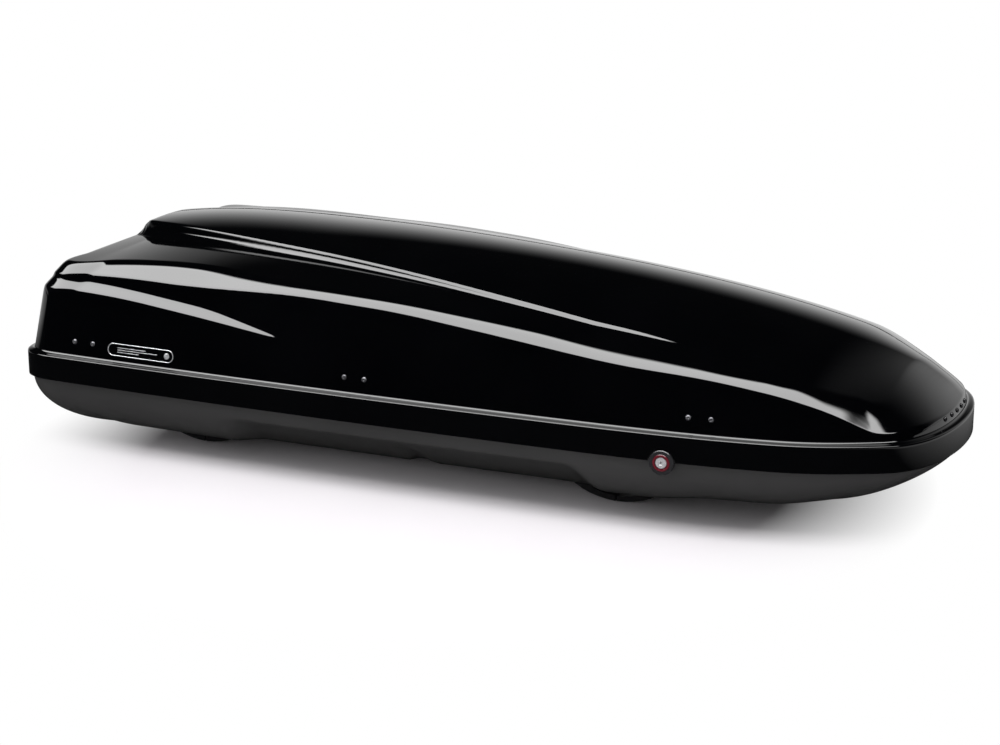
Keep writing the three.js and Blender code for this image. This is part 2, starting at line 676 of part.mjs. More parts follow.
function staySolids(x) {
  const matrix = hingeMatrix(x);
  const foot = new THREE.Vector3(0, STAY_FOOT.in, STAY_FOOT.up);
  const head = new THREE.Vector3(0, STAY_HEAD.in, STAY_HEAD.up);
  const span = foot.distanceTo(head);
  const tilt = Math.atan2(foot.y - head.y, head.z - foot.z);
  const place = (geometry) => solid(geometry.applyMatrix4(matrix));
  // A part drawn along +Z from the foot pivot, leaned over to point at the head pivot.
  const lean = (geometry) => place(geometry.rotateX(tilt).translate(foot.x, foot.y, foot.z));
  const barrel = lean(rod('z', 9, [20, 132])).subtract(lean(rod('z', 6.4, [28, 140])));
  const eye = lean(rod('x', 9, [-4, 4])).add(lean(box([-4, 4], [-7, 7], [0, 24])));
  const tube = barrel.add(eye).subtract(lean(rod('x', 4.4, [-10, 10])));
  const slot = lean(rod('x', 3.9, [-5, 5]).translate(0, 0, span - 8))
    .add(lean(rod('x', 3.9, [-5, 5]).translate(0, 0, span + 8)))
    .add(lean(box([-5, 5], [-3.9, 3.9], [span - 8, span + 8])));
  const paddle = lean(box([-3, 3], [-8, 8], [span - 16, span + 16]));
  const pushRod = lean(rod('z', 5, [30, span - 14])).add(paddle).subtract(slot);
  const shoeHeight = [-HINGE_HEIGHT + BASE_WALL + 0.4, -HINGE_HEIGHT + 14];
  const shoe = place(box([-30, 18], [STAY_FOOT.in - 12, STAY_FOOT.in + 16], shoeHeight));
  const earHeight = [-HINGE_HEIGHT + 6, STAY_FOOT.up + 9];
  const ear = place(box([5, 8.5], [STAY_FOOT.in - 10, STAY_FOOT.in + 10], earHeight));
  const footPin = lean(rod('x', 4, [-6, 7]));
  const footBracket = shoe.add(ear).add(footPin)
    .subtract(base)
    .subtract(base.translate(0, -GAP, GAP))
    .subtract(base.translate(0, 0, -3));
  const wall = rimFrame(x, 1);
  const reach = STAY_HEAD.in + 9;
  const web = place(box([4, 7], [34, reach], [STAY_HEAD.up - 12, STAY_HEAD.up + 12]));
  const flange = solid(inFrame(box([-34, 30], [28.5, 31.5], [182, 210]), wall, 1));
  const bridge = place(box([4, 7], [24, 40], [STAY_HEAD.up - 12, STAY_HEAD.up + 12]));
  const keepOff = solid(inFrame(box([-60, 60], [0, 28.5], [150, 230]), wall, 1));
  const headPin = lean(rod('x', 3.5, [-5, 6]).translate(0, 0, span));
  const headBracket = web.add(bridge).subtract(keepOff).add(flange).add(headPin);
  return { tube, pushRod, footBracket, headBracket };
}

for (const { name, x } of STAY_STATIONS) {
  const { tube, pushRod, footBracket, headBracket } = staySolids(x);
  put(`stay_tube_${name}`, geometryOf(tube), blackPlastic());
  put(`stay_rod_${name}`, geometryOf(pushRod), zincSteel());
  put(`stay_foot_${name}`, geometryOf(footBracket), zincSteel());
  put(`stay_head_${name}`, geometryOf(headBracket), zincSteel());
}

// ---- claw clamps: a channel over two slots, a knob, and two jaws that close under a crossbar ----

function jaw() {
  const shape = new THREE.Shape();
  shape.moveTo(-1.5, -19);
  shape.quadraticCurveTo(-30, -18, -48, -10);
  shape.quadraticCurveTo(-56, -4, -54, 8);
  shape.absarc(-JAW_PIVOT_X, JAW_PIVOT_Z, 10, -0.9, Math.PI / 2, false);
  shape.lineTo(-96, 16);
  shape.lineTo(-JAW_REACH, 3);
  shape.quadraticCurveTo(-62, -JAW_DEPTH + 2, -1.5, -JAW_DEPTH);
  shape.closePath();
  const eye = new THREE.Path();
  eye.absarc(-JAW_PIVOT_X, JAW_PIVOT_Z, 4.4, 0, 2 * Math.PI, true);
  shape.holes.push(eye);
  return plateXZ(shape, JAW_THICKNESS, 6);
}

function clampBody() {
  const inner = JAW_THICKNESS / 2 + 1;
  const channel = solid(box([-108, 108], [-inner - 3, inner + 3], [BASE_WALL + 0.4, CLAMP_TOP]))
    .subtract(solid(box([-120, 120], [-inner, inner], [0, CLAMP_TOP - 3])))
    .subtract(solid(rod('z', 5.6, [20, 50])));
  const pin = (x) => solid(rod('y', 4, [-inner - 1, inner + 1], 12).translate(x, 0, JAW_PIVOT_Z));
  return channel.add(pin(-JAW_PIVOT_X)).add(pin(JAW_PIVOT_X));
}

function clampKnob() {
  const lobes = 5;
  const points = [];
  for (let k = 0; k < 30; k++) {
    const angle = (k / 30) * 2 * Math.PI;
    const radius = 21 + 2.5 * Math.cos(lobes * angle);
    points.push(v2(radius * Math.cos(angle), radius * Math.sin(angle)));
  }
  const grip = new THREE.ExtrudeGeometry(new THREE.Shape(points), { depth: 20, bevelEnabled: false });
  return solid(grip.translate(0, 0, CLAMP_TOP + 2)).add(solid(rod('z', 5, [24, CLAMP_TOP + 4])));
}

for (const { name, x, y } of CLAMPS) {
  for (const [low, high] of [[-106, -38], [38, 106]]) {
    base = base.subtract(solid(box([x + low, x + high], [y - 15, y + 15], [-6, 12])));
  }
  put(`clamp_body_${name}`, geometryOf(clampBody()).translate(x, y, 0), blackPlastic());
  put(`clamp_knob_${name}`, geometryOf(clampKnob()).translate(x, y, 0), material(0x2a2c30, 0.5, 0));
  put(`clamp_jaw_${name}_a`, jaw().translate(x, y, 0), blackPlastic());
  put(`clamp_jaw_${name}_b`, jaw().rotateZ(Math.PI).translate(x, y, 0), blackPlastic());
}

// ---- inside the tray: two steel rails and two luggage straps ----

for (const [name, side] of [['right', -1], ['left', 1]]) {
  const rail = box([-700, 440], [side * 152 - 8, side * 152 + 8], [BASE_WALL + 0.4, 18]);
  put(`base_rail_${name}`, rail, zincSteel());
}
for (const [name, x] of [['rear', -300], ['front', 90]]) {
  put(`strap_${name}`, box([x - 12.5, x + 12.5], [-142, 142], [BASE_WALL + 0.6, BASE_WALL + 2.6]), webbing());
  put(`buckle_${name}`, box([x - 18, x + 18], [-24, 24], [BASE_WALL + 3, BASE_WALL + 12]), blackPlastic());
}

put('lid_shell', geometryOf(lid), glossBlack());
put('base_shell', geometryOf(base), trayGrey());

export default object;
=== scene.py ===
"""Looks of the roof cargo box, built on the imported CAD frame.

Shape formulas work in millimetres with X along the box, nose forward, and Y across it.
"""

import json
import math

import bmesh
import bpy
import numpy as np
from mathutils import Matrix, Vector


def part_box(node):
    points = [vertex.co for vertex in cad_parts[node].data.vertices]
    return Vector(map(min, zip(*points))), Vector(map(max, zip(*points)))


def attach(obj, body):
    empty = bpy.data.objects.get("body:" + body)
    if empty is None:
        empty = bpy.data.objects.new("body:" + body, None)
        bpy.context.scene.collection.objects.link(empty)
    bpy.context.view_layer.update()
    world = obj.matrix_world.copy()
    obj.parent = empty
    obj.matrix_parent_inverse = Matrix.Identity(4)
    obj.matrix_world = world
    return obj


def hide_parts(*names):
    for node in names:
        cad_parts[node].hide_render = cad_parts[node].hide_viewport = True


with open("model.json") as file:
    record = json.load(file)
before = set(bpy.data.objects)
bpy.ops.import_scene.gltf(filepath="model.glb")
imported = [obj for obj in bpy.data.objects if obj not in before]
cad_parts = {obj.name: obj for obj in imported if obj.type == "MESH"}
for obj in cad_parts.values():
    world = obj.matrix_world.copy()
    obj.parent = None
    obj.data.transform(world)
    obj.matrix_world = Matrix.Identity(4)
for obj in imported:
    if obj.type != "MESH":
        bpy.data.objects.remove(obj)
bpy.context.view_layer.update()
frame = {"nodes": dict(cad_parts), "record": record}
MM = 0.001

# ---- driving dimensions, read from the CAD frame where it holds them ----

LID_LOW, LID_HIGH = (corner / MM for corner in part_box("lid_shell"))
REAR_X, NOSE_X = LID_LOW.x, LID_HIGH.x
SKIRT_BOTTOM = LID_LOW.z
SKIRT_HEIGHT = 57
WALL_FOOT = SKIRT_BOTTOM + SKIRT_HEIGHT
WALL_FOOT_INSET = 15
WALL_SLOPE = 5
SHELL = 4
CREST_RISE = LID_HIGH.z - WALL_FOOT
CREST_X = -380
CREST_RUN = 1340
REAR_FALL, REAR_RUN = 26, 494
SPINE_HALF, SPINE_START, SPINE_RUN = 235, -882, 1180
SPINE_STEP, STEP_START, STEP_RUN = 30, -800, 1330
REAR_EDGE_X, REAR_EDGE_Z, REAR_SLOPE = -925, 291, 1.55
BASE_INSET = 9
BASE_TOP = (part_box("base_shell")[1] / MM).z
KEEL_START = 470
KEEL_RUN = 620
BELLY_REACH = 145
FLOOR_ROWS = 18

# ---- small maths ----


def smoothstep(x, low, high):
    t = np.clip((x - low) / (high - low), 0, 1)
    return t * t * (3 - 2 * t)


def smooth_min(a, b, radius):
    h = np.clip(0.5 + 0.5 * (b - a) / radius, 0, 1)
    return b * (1 - h) + a * h - radius * h * (1 - h)


def ramp_between(x, low, high, softness):
    return softness * (np.logaddexp(0, (x - low) / softness) - np.logaddexp(0, (x - high) / softness))


def faired(x, stations, reach=60):
    """A smooth curve along the (x, value) stations: their polyline averaged over +-reach."""
    along, value = np.array(stations, float).T
    shifts = np.linspace(-reach, reach, 13)
    return sum(np.interp(x + shift, along, value) for shift in shifts) / len(shifts)


def bezier(points, t):
    points = [np.array(p, float) for p in points]
    t = t[:, None]
    while len(points) > 1:
        points = [a * (1 - t) + b * t for a, b in zip(points, points[1:])]
    return points[0]


# ---- rim outline: the left half of the skirt from above, rear centre to nose ----

RIM = [
    ([(REAR_X, 0), (REAR_X, 200), (-957, 318)], 26),
    ([(-957, 318), (-953, 372), (-925, 398), (-862, 398)], 30),
    ([(-862, 398), (-640, 400), (-250, 392), (108, 373)], 74),
    ([(108, 373), (330, 361), (530, 352), (700, 312)], 56),
    ([(700, 312), (765, 296.7), (825, 266), (880, 232)], 24),
    ([(880, 232), (902, 218.4), (917, 198)], 12),
    ([(917, 198), (946, 158.6), (NOSE_X, 92), (NOSE_X, 0)], 40),
]


def rim_points(scale=1.0):
    parts = [bezier(curve, np.arange(round(n * scale)) / round(n * scale)) for curve, n in RIM]
    return np.vstack(parts + [np.array([[NOSE_X, 0.0]])])


def inward_normals(points):
    """Inward unit normals of the left half outline; the two ends lie on the centre line."""
    tangent = np.gradient(points, axis=0)
    tangent[0] = (0, 1)
    tangent[-1] = (0, -1)
    tangent /= np.linalg.norm(tangent, axis=1)[:, None]
    return np.stack([tangent[:, 1], -tangent[:, 0]], 1)


FINE = rim_points(8)
FINE_IN = inward_normals(FINE)
# The fine points from SIDE_START on run forward from the rear corner; the nose begins at NOSE_FROM.
SIDE_START = 200
NOSE_FROM = 880


def rim_half_width(x):
    return np.interp(x, FINE[SIDE_START:, 0], FINE[SIDE_START:, 1])


def frame_at(origin, inward):
    """Frame with local X along the wall, Y inward and Z up; the origin is in metres."""
    up = Vector((0, 0, 1))
    turn = Matrix((inward.cross(up), inward, up)).transposed().to_4x4()
    return Matrix.Translation(origin) @ turn


def rim_frame(k, side):
    """Frame on point k of the fine outline, for side -1 (lock) or +1 (hinges)."""
    origin = Vector((FINE[k][0], side * FINE[k][1], 0)) * MM
    return frame_at(origin, Vector((FINE_IN[k][0], side * FINE_IN[k][1], 0)))


def rim_matrix(x):
    """Frame on the lock side of the rim at a given x."""
    k = int(np.argmin(np.abs(FINE[SIDE_START:, 0] - x))) + SIDE_START
    return rim_frame(k, -1)


def nose_matrix(y):
    """Frame on the rim at the nose for a given y."""
    k = int(np.argmin(np.abs(FINE[:, 1] - abs(y)) + (FINE[:, 0] < NOSE_FROM) * 1e3))
    return rim_frame(k, -1 if y < 0 else 1)


# ---- lid height ----

# Heights of the crease where the side wall turns into the shoulder facet.
SHOULDER = [(-963, 321), (-830, 332), (-697, 336), (-558, 333), (-450, 338), (-300, 344), (-74, 333)]
SHOULDER += [(140, 309), (346, 284), (445, 277), (550, 272), (636, 258), (727, 240), (814, 207), (880, 168)]
FACET_SLOPE = 0.95
# Heights of the facet's upper edge, where the shoulder panel starts, up to where the panel ends.
PANEL_EDGE = [(-963, 352), (-830, 354), (-727, 364), (-595, 369), (-519, 368), (-425, 363), (-307, 362)]
PANEL_EDGE += [(-83, 352), (130, 331), (335, 307), (440, 295), (540, 282)]
# Height and width of the shelf on the rear half of the wall.
HAUNCH = [(-963, 306), (-842, 305), (-700, 298), (-506, 278), (-329, 256), (-250, 246)]
HAUNCH_WIDTH = [(-963, 19), (-500, 19), (-260, 0)]


def crest_height(x):
    front = WALL_FOOT + CREST_RISE * np.sqrt(1 - np.clip((x - CREST_X) / CREST_RUN, 0, 0.9999) ** 2)
    rear = WALL_FOOT + CREST_RISE - REAR_FALL * (np.clip(CREST_X - x, 0, None) / REAR_RUN) ** 3.5
    return np.where(x > CREST_X, front, rear)


def spine_half_width(x):
    return SPINE_HALF * np.clip((x - SPINE_START) / SPINE_RUN, 1e-4, 1) ** 0.42


def spine_step(x):
    return SPINE_STEP * (1 - np.clip((x - STEP_START) / STEP_RUN, 0, 1) ** 0.8)


def step_drop(past, step):
    """Fall at a distance past the ridge: a steep face, a toe at 43 degrees, then level."""
    face = 3 * 1.2 * np.logaddexp(0, past / 1.2)
    toe = 0.42 * step + 0.95 * np.maximum(past, 0)
    round_off = np.minimum(4, 0.4 * step + 0.01)
    return smooth_min(smooth_min(face, toe, round_off), step, round_off)


def roof_height(x, y):
    """A crowned spine panel, a step down to a shoulder panel, and a nose where the two become one."""
    across = np.abs(y)
    foot = np.maximum(rim_half_width(x) - WALL_FOOT_INSET, 1)
    crown = 0.37 + 0.10 * smoothstep(x, -450, 150) + 0.48 * smoothstep(x, 715, 955)
    crest = crest_height(x) - WALL_FOOT
    ridge = spine_half_width(x)

    def crowned(w):
        return WALL_FOOT + crest * (1 - crown * (w / foot) ** 2)

    step = spine_step(x)
    past = across - ridge
    edge_past = np.maximum(foot - 45 - ridge, 60)
    fall = (crowned(ridge) - step - faired(x, PANEL_EDGE)) / edge_past
    nose = smoothstep(x, 200, 480)
    panel = (crowned(ridge) - fall * past) * (1 - nose) + crowned(across) * nose
    return np.where(past > 0, panel, crowned(across)) - step_drop(past, step)


def lid_height(inset, x, y):
    rear = REAR_EDGE_Z + REAR_SLOPE * (x - REAR_EDGE_X)
    roof = np.maximum(smooth_min(roof_height(x, y), rear, 14) - WALL_FOOT, 1)
    haunch_start = (faired(x, HAUNCH) - WALL_FOOT) / WALL_SLOPE
    haunch_width = faired(x, HAUNCH_WIDTH, 40)
    e = np.clip(inset - WALL_FOOT_INSET, 0, None)
    shelf = (WALL_SLOPE - 1) * ramp_between(e, haunch_start, haunch_start + haunch_width, 1.0)
    wall = np.maximum(WALL_SLOPE * e - shelf, 1e-3)
    crease = faired(x, SHOULDER) - WALL_FOOT + 22 * smoothstep(x, 850, 925)
    crease_inset = (crease + (WALL_SLOPE - 1) * haunch_width) / WALL_SLOPE
    facet = np.maximum(crease + FACET_SLOPE * (e - crease_inset), 0.5)
    side = smooth_min(wall, facet, np.minimum(16, 0.5 * facet))
    return WALL_FOOT + smooth_min(side, roof, np.minimum(9, 0.5 * roof))


# ---- shells ----


class Columns:
    """Rim points of the left half, each with a line to its own point on the centre line."""

    def __init__(self):
        self.start = rim_points()
        self.inward = inward_normals(self.start)
        step = np.linalg.norm(np.diff(self.start, axis=0), axis=1)
        length = np.concatenate([[0], np.cumsum(step)])
        target = np.stack([-700 + 1300 * length / length[-1], 0 * length], 1)
        run = target - self.start
        self.reach = np.linalg.norm(run, axis=1)
        self.direction = run / self.reach[:, None]
        self.bite = np.clip((self.direction * self.inward).sum(1), 0.3, None)

    def at(self, t):
        """Points at distances t, an array of one row of distances per column."""
        return self.start[:, None] + self.direction[:, None] * t[..., None]

    def edge(self, pairs):
        """Grid (column, row, xyz) of points at (inset, height) pairs, straight inward from the rim."""
        inset, height = np.array(pairs, float).T
        plan = self.start[:, None] + self.inward[:, None] * inset[None, :, None]
        return np.concatenate([plan, np.tile(height, (len(plan), 1))[..., None]], 2)


COLUMNS = Columns()


def rows_by_the_step(last):
    """Distances from the last wall row to the centre line, with rows packed along the spine's step."""
    reach = COLUMNS.reach
    room = reach - last
    t = last[:, None] + room[:, None] * np.linspace(0, 1, 600)[None]
    spot = COLUMNS.at(t)
    beyond = spot[..., 1] - spine_half_width(spot[..., 0])

    def crossing(offset):
        return t[np.arange(len(t)), np.argmax(beyond < offset, axis=1)]

    low = np.clip(crossing(24), last + 0.1 * room, last + 0.8 * room)
    high = np.clip(crossing(-5), low + 0.05 * room, last + 0.93 * room)
    spans = [(last, low, 20), (low, high, 30), (high, reach, 22)]
    steps = [a[:, None] + (b - a)[:, None] * (np.arange(1, n + 1) / n)[None] for a, b, n in spans]
    return np.concatenate(steps, 1)


def lid_grid():
    """The lid's outside: the skirt with its rolled top, then the walls and the roof."""
    edge = [(1.2, 115), (0.2, 115.6), (0, 117), (0, 161), (0, 164.4), (0.5, 166.2), (1.7, 167.3), (3.6, 168)]
    edge += [(6, 168.5), (9, 169.1), (11.4, 169.9), (13, 171), (14.1, 172.8)]
    near = np.concatenate([[15, 15.7], np.arange(17, 68, 1.5), np.arange(68, 100, 2.6)])
    t = np.minimum(near[None] / COLUMNS.bite[:, None], COLUMNS.reach[:, None] * near[None] * 0.0045)
    t = np.concatenate([t, rows_by_the_step(t[:, -1])], 1)
    roof = COLUMNS.at(t)
    roof[:, -1, 1] = 0
    heights = lid_height(t * COLUMNS.bite[:, None], roof[..., 0], roof[..., 1])
    roof = np.concatenate([roof, heights[..., None]], 2)
    return np.concatenate([COLUMNS.edge(edge), roof], 1), len(edge)


def keel_height(x):
    return SKIRT_BOTTOM * np.minimum(np.clip((x - KEEL_START) / KEEL_RUN, 0, None) ** 2.4, 0.97)


def belly_reach(x):
    """How far in from the rim the tray reaches its full depth."""
    rear = 50 * (1 - smoothstep(x, -940, -800))
    ahead = 50 * smoothstep(x, 480, 640) * (1 - smoothstep(x, 680, 820))
    return BELLY_REACH + rear + ahead + 40 * smoothstep(x, 680, 850)


def belly_grid():
    """The tray's outside: an upstand inside the skirt, a rounded flank and a flat floor."""
    edge = [(BASE_INSET + 1, BASE_TOP), (BASE_INSET + 0.2, BASE_TOP - 0.4), (BASE_INSET, BASE_TOP - 1.4)]
    edge += [(BASE_INSET, 122), (BASE_INSET, 118)]
    angle = np.radians(np.concatenate([np.arange(3, 80, 2.2), np.arange(80, 91, 2)]))
    u = 1 - np.cos(angle)
    flank = (belly_reach(COLUMNS.start[:, 0]) / COLUMNS.bite)[:, None] * u[None]
    limit = COLUMNS.reach[:, None] * 0.8
    longest = flank[:, -1:]
    capped = np.minimum(flank, flank / longest * limit)
    first = (BASE_INSET + 0.6) / COLUMNS.bite[:, None]
    t = np.minimum(first + capped, limit * 1.05)
    rest = COLUMNS.reach[:, None] - t[:, -1:]
    t = np.concatenate([t, t[:, -1:] + rest * (np.arange(1, FLOOR_ROWS + 1) / FLOOR_ROWS)[None]], 1)
    floor = COLUMNS.at(t)
    floor[:, -1, 1] = 0
    x = floor[..., 0]
    depth = np.concatenate([np.sin(angle), np.ones(FLOOR_ROWS)])[None]
    keel = keel_height(x)
    round_z = SKIRT_BOTTOM + (keel - SKIRT_BOTTOM) * depth
    # Between the clamps the flank is flatter: a short wall and a long slant under it.
    inset = t * COLUMNS.bite[:, None]
    wall = SKIRT_BOTTOM - (inset - BASE_INSET) / 0.2
    slant = 84 - 0.64 * (inset - 16)
    flat_z = -smooth_min(-np.maximum(wall, -200), -slant, 16)
    flat_z = np.minimum(-smooth_min(-flat_z, -keel, 14), SKIRT_BOTTOM)
    flat_z = np.where(depth > 0.9999, keel, flat_z)
    middle = smoothstep(x, -480, -410) * (1 - smoothstep(x, 285, 340))
    low = round_z * (1 - middle) + flat_z * middle
    notch = 9 * smoothstep(x, -98, -90) * (1 - smoothstep(x, -70, -40)) * smoothstep(inset, 50, 75)
    low = low + notch * (1 - smoothstep(inset, 150, 175))
    floor = np.concatenate([floor, low[..., None]], 2)
    return np.concatenate([COLUMNS.edge(edge), floor], 1), len(edge)


def grid_normals(grid):
    """Unit normals of a left-half grid; both end columns lie on the plane y = 0."""
    mirror = np.array([1, -1, 1])
    before = grid[1:2] * mirror
    after = grid[-2:-1] * mirror
    padded = np.concatenate([before, grid, after], 0)
    round_way = padded[2:] - padded[:-2]
    inward = np.gradient(grid, axis=1)
    normal = np.cross(inward, round_way)
    normal[:, -1, 1] = 0
    return normal / np.maximum(np.linalg.norm(normal, axis=2), 1e-9)[..., None]


def inner_grid(outer, normals, rows, lip):
    """A shell's inside: a lip of (inset, height) pairs, then chosen outside rows moved in."""
    inner = np.concatenate([COLUMNS.edge(lip), outer[:, rows] - normals[:, rows] * SHELL], 1)
    inner[:, -1, 1] = 0
    inner[[0, -1], :, 1] = 0
    return inner


def shell_mesh(outer, inner, facing):
    """Closed mesh of a symmetric shell from left-half grids (column, row, xyz)."""
    verts, columns = [], []
    count = 0
    for grid in (outer, inner):
        n, rows = grid.shape[:2]
        left = np.arange(n * rows).reshape(n, rows) + count
        mirrored = grid[1:-1].copy()
        mirrored[..., 1] *= -1
        right = np.arange((n - 2) * rows).reshape(n - 2, rows) + count + n * rows
        right[:, -1] = left[1:-1, -1]
        verts += [grid.reshape(-1, 3), mirrored.reshape(-1, 3)]
        count += (2 * n - 2) * rows
        columns.append(np.concatenate([left, right[::-1]], 0))
    verts = np.concatenate(verts)
    faces = []
    for which, ids in enumerate(columns):
        nxt = np.roll(ids, -1, 0)
        quads = np.stack([ids[:, :-1], ids[:, 1:], nxt[:, 1:], nxt[:, :-1]], -1).reshape(-1, 4)
        faces.append(quads if (which == 0) == (facing > 0) else quads[:, ::-1])
    a, b = columns[0][:, 0], columns[1][:, 0]
    lip = np.stack([a, np.roll(a, -1), np.roll(b, -1), b], -1)
    faces.append(lip if facing > 0 else lip[:, ::-1])
    return verts * MM, [tuple(dict.fromkeys(face)) for face in np.concatenate(faces).tolist()]


# ---- node-based materials ----


def new_material(name):
    material = bpy.data.materials.new(name)
    material.use_nodes = True
    tree = material.node_tree
    return material, tree, tree.nodes["Principled BSDF"]


def add(tree, kind, **values):
    """A new node with the given input values and settings."""
    node = tree.nodes.new(kind)
    for key, value in values.items():
        if key in node.inputs:
            node.inputs[key].default_value = value
        else:
            setattr(node, key, value)
    return node


def fed(tree, node, *sources):
    """Links the sources to a node's first inputs, in order, and returns the node."""
    for source, socket in zip(sources, node.inputs):
        tree.links.new(source, socket)
    return node


def part_along(tree, vector, direction):
    """How far a vector reaches along a fixed direction."""
    node = fed(tree, add(tree, "ShaderNodeVectorMath", operation="DOT_PRODUCT"), vector)
    node.inputs[1].default_value = direction
    return node.outputs["Value"]


def noise(tree, scale, detail, stretch=None):
    source = add(tree, "ShaderNodeTexCoord").outputs["Object"]
    if stretch:
        source = fed(tree, add(tree, "ShaderNodeMapping", Scale=stretch), source).outputs[0]
    return fed(tree, add(tree, "ShaderNodeTexNoise", Scale=scale, Detail=detail), source).outputs["Fac"]


def span(tree, value, low, high, clamp_low=0.3, clamp_high=0.7):
    """A value that runs from low to high as the source goes from clamp_low to clamp_high."""
    node = add(tree, "ShaderNodeMapRange")
    node.inputs["From Min"].default_value = clamp_low
    node.inputs["From Max"].default_value = clamp_high
    node.inputs["To Min"].default_value = low
    node.inputs["To Max"].default_value = high
    tree.links.new(value, node.inputs["Value"])
    return node.outputs["Result"]


def mix_colours(tree, value, first, second):
    ramp = add(tree, "ShaderNodeValToRGB")
    ramp.color_ramp.elements[0].position = 0.3
    ramp.color_ramp.elements[0].color = (*first, 1)
    ramp.color_ramp.elements[1].position = 0.7
    ramp.color_ramp.elements[1].color = (*second, 1)
    tree.links.new(value, ramp.inputs["Fac"])
    return ramp.outputs["Color"]


def bump(tree, shader, value, strength, distance):
    node = add(tree, "ShaderNodeBump", Strength=strength, Distance=distance)
    tree.links.new(value, node.inputs["Height"])
    tree.links.new(node.outputs["Normal"], shader.inputs["Normal"])


def plastic(name, first, second, rough, grain, grain_depth, patch=14.0):
    """Moulded plastic: slow colour and roughness drift, and a fine surface grain."""
    material, tree, shader = new_material(name)
    drift = noise(tree, patch, 4)
    tree.links.new(mix_colours(tree, drift, first, second), shader.inputs["Base Color"])
    tree.links.new(span(tree, noise(tree, patch * 3, 5), *rough), shader.inputs["Roughness"])
    bump(tree, shader, noise(tree, grain, 2), 0.6, grain_depth)
    return material


def steel(name, first, second, rough, stretch, metallic=1.0):
    """Plated or brushed steel with long fine scratches along one direction."""
    material, tree, shader = new_material(name)
    shader.inputs["Metallic"].default_value = metallic
    tree.links.new(mix_colours(tree, noise(tree, 9, 4), first, second), shader.inputs["Base Color"])
    lines = noise(tree, 60, 3, stretch)
    tree.links.new(span(tree, lines, *rough), shader.inputs["Roughness"])
    bump(tree, shader, lines, 0.25, 0.0001)
    return material


def lid_paint():
    """Deep black gloss sheet: near mirror, with a faint forming ripple and a few dusty patches."""
    material, tree, shader = new_material("lid_gloss_black")
    tree.links.new(
        mix_colours(tree, noise(tree, 5, 4), (0.0004, 0.0005, 0.0008), (0.0009, 0.0010, 0.0014)),
        shader.inputs["Base Color"],
    )
    tree.links.new(span(tree, noise(tree, 26, 6), 0.03, 0.065), shader.inputs["Roughness"])
    shader.inputs["IOR"].default_value = 1.5
    bump(tree, shader, noise(tree, 7, 1), 0.05, 0.0016)
    return material


def woven(name, first, second, pitch):
    """Webbing: crossed ribs from two wave patterns, with a fuzzy sheen."""
    material, tree, shader = new_material(name)
    coords = add(tree, "ShaderNodeTexCoord").outputs["Object"]
    heights = []
    for direction, scale in (("X", 1.0), ("Y", 0.55)):
        wave = add(tree, "ShaderNodeTexWave", bands_direction=direction, Scale=scale / pitch, Distortion=0.4)
        heights.append(fed(tree, wave, coords).outputs["Fac"])
    ribs = fed(tree, add(tree, "ShaderNodeMath", operation="MULTIPLY"), *heights).outputs[0]
    tree.links.new(mix_colours(tree, ribs, first, second), shader.inputs["Base Color"])
    shader.inputs["Roughness"].default_value = 0.85
    shader.inputs["Sheen Weight"].default_value = 0.4
    bump(tree, shader, ribs, 0.8, 0.0006)
    return material


GLOSS = lid_paint()
TRAY = plastic("tray_grey", (0.038, 0.0385, 0.038), (0.046, 0.0465, 0.046), (0.34, 0.42), 2600, 0.00006, 4)
BLACK = plastic("black_plastic", (0.010, 0.010, 0.011), (0.016, 0.016, 0.018), (0.30, 0.46), 3000, 0.00008)
KNOB = plastic("knob_grey", (0.05, 0.052, 0.056), (0.075, 0.077, 0.08), (0.4, 0.55), 2400, 0.00009)
BOSS = plastic("boss_grey", (0.016, 0.016, 0.018), (0.026, 0.026, 0.028), (0.2, 0.34), 2600, 0.00006)
RED = plastic("red_plastic", (0.09, 0.008, 0.014), (0.14, 0.012, 0.02), (0.14, 0.25), 1500, 0.00003)
ZINC = steel("zinc_steel", (0.50, 0.51, 0.53), (0.62, 0.63, 0.65), (0.26, 0.42), (1, 14, 14))
RIVET = steel("rivet_steel", (0.10, 0.10, 0.11), (0.18, 0.18, 0.19), (0.38, 0.5), (8, 8, 8), 0.7)
CHROME = steel("lock_chrome", (0.48, 0.48, 0.49), (0.62, 0.62, 0.63), (0.12, 0.22), (1, 1, 12), 0.35)
SILVER = steel("badge_silver", (0.62, 0.63, 0.65), (0.74, 0.75, 0.77), (0.22, 0.34), (2, 14, 14), 0.6)
WEB = woven("webbing", (0.010, 0.010, 0.012), (0.050, 0.050, 0.056), 0.004)

# ---- pieces ----


def soften(obj, degrees):
    """Smooth shading, with edges kept sharp where faces meet at more than the given degrees."""
    obj.data.polygons.foreach_set("use_smooth", [True] * len(obj.data.polygons))
    obj.data.set_sharp_from_angle(angle=math.radians(degrees))


def piece(name, verts, faces, material, body, replaces=(), degrees=35):
    """Adds a new object from vertices in metres, riding on a body."""
    mesh = bpy.data.meshes.new(name)
    mesh.from_pydata([tuple(map(float, v)) for v in verts], [], faces)
    obj = bpy.data.objects.new(name, mesh)
    bpy.context.scene.collection.objects.link(obj)
    mesh.materials.append(material)
    soften(obj, degrees)
    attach(obj, body)
    if replaces:
        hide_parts(*replaces)
    return obj


def bake(obj):
    """Applies the modifiers of a piece to its mesh."""
    graph = bpy.context.evaluated_depsgraph_get()
    mesh = bpy.data.meshes.new_from_object(obj.evaluated_get(graph))
    obj.modifiers.clear()
    old = obj.data
    obj.data = mesh
    bpy.data.meshes.remove(old)


